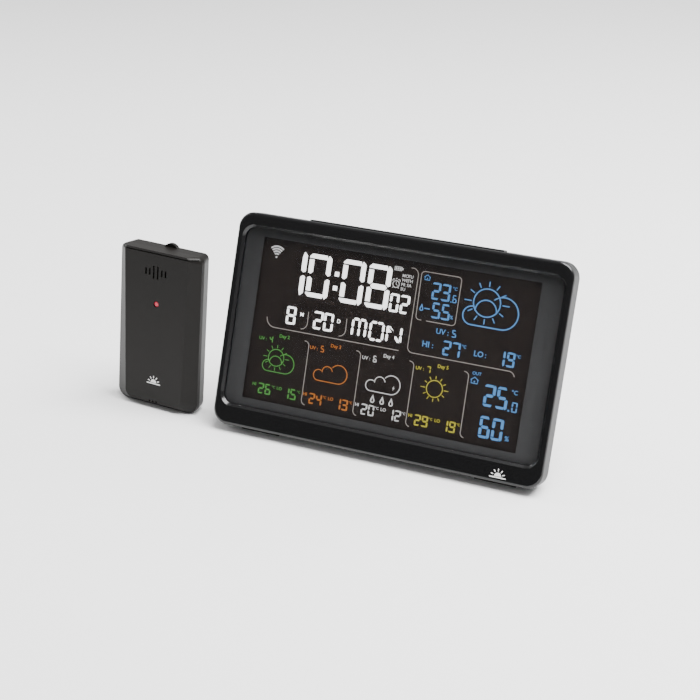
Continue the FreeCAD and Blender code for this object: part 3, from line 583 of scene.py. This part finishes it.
# A small mark is printed in white on the lower right of the bezel: a sun above the horizon.
# Pad-printing ink dries to a thin, slightly chalky white.
PRINT_THICK = 0.03
MARK_SIZE = 9.5
white_print = moulded("white_pad_print", "#E6E6E4", 0.45, 0.3, 0.002, 0.03)


def horizon_mark(x, y, size):
    """Half a sun with five rays above a line, as outlines."""
    half = size / 2
    outlines = [stroke([(x - half, y), (x + half, y)], size * 0.07)]
    outlines.append(arc(x, y + size * 0.07, size * 0.21, 0, 180, 20))
    for angle in (18, 54, 90, 126, 162):
        reach = Vector((math.cos(math.radians(angle)), math.sin(math.radians(angle)))) * size
        outlines.append(stroke([(x + reach.x * 0.29, y + size * 0.07 + reach.y * 0.29),
                                (x + reach.x * 0.44, y + size * 0.07 + reach.y * 0.44)], size * 0.06))
    return outlines


def printed(name, outlines, plane, body):
    """Thin white ink on a flat surface."""
    layer = flat_curve(name, outlines, PRINT_THICK)
    on_top = plane @ Matrix.Translation((0, 0, PRINT_THICK / 2))
    settle([layer], on_top, white_print, body)


printed("bezel_mark", horizon_mark(75.5, 3.0, MARK_SIZE), FACE, "console")


# ------------------------------------------------------------ rear shell, doors and leg
# Black ABS from a spark-eroded mould. The shell is screwed to the bezel from behind, the door of the
# coin cell clips into it, and the leg turns on a steel pin in two lugs.

# Spark erosion leaves a matt grain about a third of a millimetre wide, which greys the black.
coat(moulded("spark_eroded_black_abs", "#121214", 0.55, 0.35, 0.02, 0.08, IOR=1.5,
             Specular_IOR_Level=0.3), "rear_shell", "battery_door", "stand_leg")

# Pad-printed legends below the six keys: cog, bell, arrow up, arrow down, channel bars, wireless fan.
KEY_TO_LEGEND = 6.3
SHELL_REAR = 22.0 * MM
BACK = drawing_plane(face_foot + face_back * SHELL_REAR, -face_right, face_up)


def key_legend(node, outlines_at):
    """Legend under one key, drawn round the point that it is given."""
    spot = BACK.inverted() @ middle(node)
    printed(f"{node}_legend", outlines_at(spot.x, spot.y - KEY_TO_LEGEND), BACK, "console")


key_legend("set_key", lambda x, y: ring(x, y, 0.75, 0.4) + [
    stroke([(x + math.cos(turn) * 1.05, y + math.sin(turn) * 1.05),
            (x + math.cos(turn) * 1.5, y + math.sin(turn) * 1.5)], 0.45)
    for turn in (math.radians(45 * tooth) for tooth in range(8))])
key_legend("alarm_key", lambda x, y: [
    arc(x, y + 0.1, 1.1, 0, 180, 16) + [(x - 1.4, y - 0.9), (x + 1.4, y - 0.9)], square(x, y - 1.35, 0.6)])
key_legend("up_key", lambda x, y: [[(x - 1.3, y - 0.9), (x + 1.3, y - 0.9), (x, y + 1.2)]])
key_legend("down_key", lambda x, y: [[(x - 1.3, y + 0.9), (x, y - 1.2), (x + 1.3, y + 0.9)]])
key_legend("channel_key", lambda x, y: [stroke([(x - 1.5, y + up), (x + 1.5, y + up)], 0.5)
                                        for up in (-1.0, 0, 1.0)])
key_legend("wifi_key", lambda x, y: [stroke(arc(x, y - 1.2, radius, 50, 130), 0.45)
                                     for radius in (0.9, 1.7, 2.5)] + [square(x, y - 1.2, 0.6)])

# Keys of soft-touch silicone rubber, pressed in a fine-blasted mould: dull, and a shade greyer.
coat(moulded("soft_black_rubber", "#2C2C30", 0.65, 0.2, 0.008, 0.05, IOR=1.52),
     "set_key", "alarm_key", "up_key", "down_key", "channel_key", "wifi_key", "send_button")
# Feet, the leg's pad and the sensor's seal of cured rubber: no shine at all, a rough skin.
coat(moulded("foot_rubber", "#1B1B1B", 0.8, 0.5, 0.02, 0.1, IOR=1.52),
     "leg_pad", "console_feet", "seam_gasket")


# ------------------------------------------------------------ parts inside the console
# The display lies in a white tray with its light guide, a strip of diodes and a reflector behind
# the glass. The board is screwed to posts of the rear shell and carries the chips, the switches
# behind the keys, the radio parts and the power inlet.

# Polystyrene tray, moulded with a light grain: warm white, so that no light is lost.
coat(moulded("white_moulded_tray", "#DADAD4", 0.5, 0.4, 0.01, 0.03), "lcd_frame")
# Stretched polyester film full of tiny voids: brighter and smoother than the tray.
coat(moulded("white_reflector_film", "#ECECEA", 0.35, 0.5, 0.002, 0.02), "reflector_sheet")
# Moulded acrylic plate: clear with a cold tint at its edges.
coat(moulded("clear_acrylic_guide", "#DDE8EC", 0.08, 3.0, 0.0005, 0.02, Alpha=0.4, IOR=1.49), "light_guide")
# Glass epoxy board under sprayed solder mask: green, darker over bare board and lighter over copper.
coat(moulded("green_solder_mask", "#17552B", 0.3, 0.8, 0.01, 0.25),
     "main_board", "radio_module", "backlight_strip", "sensor_board")
# Epoxy and nylon parts straight from the mould: off-black and finely pitted.
coat(moulded("black_moulded_epoxy", "#1C1C1E", 0.45, 0.15, 0.01, 0.08), "board_chips", "tact_switches",
     "buzzer", "room_sensor", "snooze_switch", "dc_jack", "sensor_switches", "channel_slider")
# Polyimide ribbon laminated over copper tracks: amber, uneven where the tracks lie.
coat(moulded("amber_polyimide_ribbon", "#B2702A", 0.3, 1.0, 0.002, 0.15), "lcd_ribbon")
# Steel strip dipped in tin and stamped: a soft white shine.
coat(moulded("tinned_steel", "#B9BBBD", 0.32, 0.25, 0.003, 0.06, Metallic=1.0), "wifi_module", "cell_contacts")
# Steel plated with zinc in a barrel: bluish grey, a little mottled from tumbling.
zinc = moulded("zinc_plated_steel", "#A9ABAE", 0.28, 0.2, 0.003, 0.08, Metallic=1.0)
coat(zinc, "board_screws", "case_screws", "leg_pin", "sensor_screws")
# Deep-drawn cell can plated with nickel: smooth, with a yellower shine than zinc.
coat(moulded("nickel_plated_cell", "#C6C4BE", 0.22, 0.3, 0.002, 0.05, Metallic=1.0), "coin_cell")
# Drawn copper wire in clear enamel: reddish and glossy.
copper = moulded("enamelled_copper_wire", "#B5673C", 0.3, 0.3, 0.002, 0.1, Metallic=1.0)
coat(copper, "console_antenna")


# ------------------------------------------------------------ outdoor sensor
# Two shells of stabilised ABS screwed together over a rubber seal, with a board, two cells and a
# coiled aerial inside. A red light pipe shows through the front, and a door closes the cells.

# Brown-black ABS from a finely blasted mould: satin, with a grain of about a fifth of a millimetre.
coat(moulded("satin_brown_black_abs", "#12100E", 0.4, 0.22, 0.008, 0.05, IOR=1.45,
             Specular_IOR_Level=0.22), "sensor_front_shell", "sensor_back_shell", "sensor_battery_door")
# Red acrylic light pipe, moulded clear through: it glows a little from the diode behind it.
lamp_red = moulded("red_lamp_acrylic", "#B8283C", 0.18, 1.0, 0.0005, 0.05, IOR=1.49, Emission_Strength=0.35)
lamp_red.node_tree.nodes["Principled BSDF"].inputs["Emission Color"].default_value = linear("#C8304A")
coat(lamp_red, "lamp_lens")

# The sensor's own plane: its door gives the middle of the back, and its foot is the origin.
DOOR_BEHIND_FACE, DOOR_ABOVE_FOOT = 14.2 * MM, 37.3 * MM
sensor_back = Vector(JOINTS["sensor_door_lift"]["axis"]).normalized()
sensor_right = Vector(JOINTS["channel_slide"]["axis"]).normalized()
sensor_up = sensor_right.cross(sensor_back)
sensor_foot = (middle("sensor_battery_door") - sensor_back * DOOR_BEHIND_FACE
               - sensor_up * DOOR_ABOVE_FOOT)
SENSOR = drawing_plane(sensor_foot, sensor_right, sensor_up)
printed("sensor_mark", horizon_mark(0.3, 15.0, MARK_SIZE), SENSOR, "sensor")


def wound(name, path, thick, finish):
    """Round wire along a path in the sensor's own millimetres, across, back and up."""
    curve = bpy.data.curves.new(name, "CURVE")
    curve.dimensions = "3D"
    curve.bevel_depth = thick / 2
    curve.bevel_resolution = 3
    curve.use_fill_caps = True
    spline = curve.splines.new("POLY")
    spline.points.add(len(path) - 1)
    for point, (x, back, up) in zip(spline.points, path):
        point.co = (x, up, -back, 1)
    wire = bpy.data.objects.new(name, curve)
    bpy.context.collection.objects.link(wire)
    return settle([wire], SENSOR, finish, "sensor")


# Each cell rests on a conical spring wound from plated wire, three and a half turns.
CELL_BACK = 7.95
SPRING_WIRE = 0.9
WIDE, NARROWING = 3.25, 1.05
TURNS, STEPS = 3.5, 24
for side, across, low, high in (("left", -5.6, 6.35, 8.45), ("right", 5.6, 55.95, 53.95)):
    cone = []
    for step in range(int(TURNS * STEPS) + 1):
        share = step / (TURNS * STEPS)
        angle, radius = math.tau * step / STEPS, WIDE - NARROWING * share
        cone.append((across + radius * math.cos(angle), CELL_BACK + radius * math.sin(angle),
                     low + (high - low) * share))
    spring = wound(f"{side}_cell_spring", cone, SPRING_WIRE, zinc)
    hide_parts("cell_springs")

# The aerial is nine close turns of enamelled wire, one end turned down to the board.
COIL_TURNS, COIL_LONG, COIL_RADIUS, COIL_WIRE = 9, 7.9, 2.05, 0.7
COIL_START, COIL_BACK, COIL_UP, BOARD_REAR = -11.6, 8.3, 80, 5.2
coil = [(COIL_START, BOARD_REAR, COIL_UP), (COIL_START, COIL_BACK - COIL_RADIUS, COIL_UP)]
for step in range(1, COIL_TURNS * STEPS + 1):
    angle = math.tau * step / STEPS
    coil.append((COIL_START + COIL_LONG * step / (COIL_TURNS * STEPS),
                 COIL_BACK - COIL_RADIUS * math.cos(angle), COIL_UP + COIL_RADIUS * math.sin(angle)))
aerial = wound("coiled_aerial", coil, COIL_WIRE, copper)
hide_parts("sensor_antenna")

# Cast resin over the diode: milky white and smooth.
coat(moulded("white_diode_resin", "#E4E2DA", 0.35, 0.4, 0.003, 0.03), "lamp_diode")
# Fired ceramic base of the humidity chip: chalk white and dry.
coat(moulded("white_ceramic", "#DEDED8", 0.5, 0.3, 0.003, 0.03), "humidity_chip")
# Shrunk plastic sleeve printed in one colour: glossy, with slight ripples where it shrank.
coat(moulded("printed_cell_sleeve", "#2B5C64", 0.25, 1.5, 0.002, 0.12), "sensor_batteries")
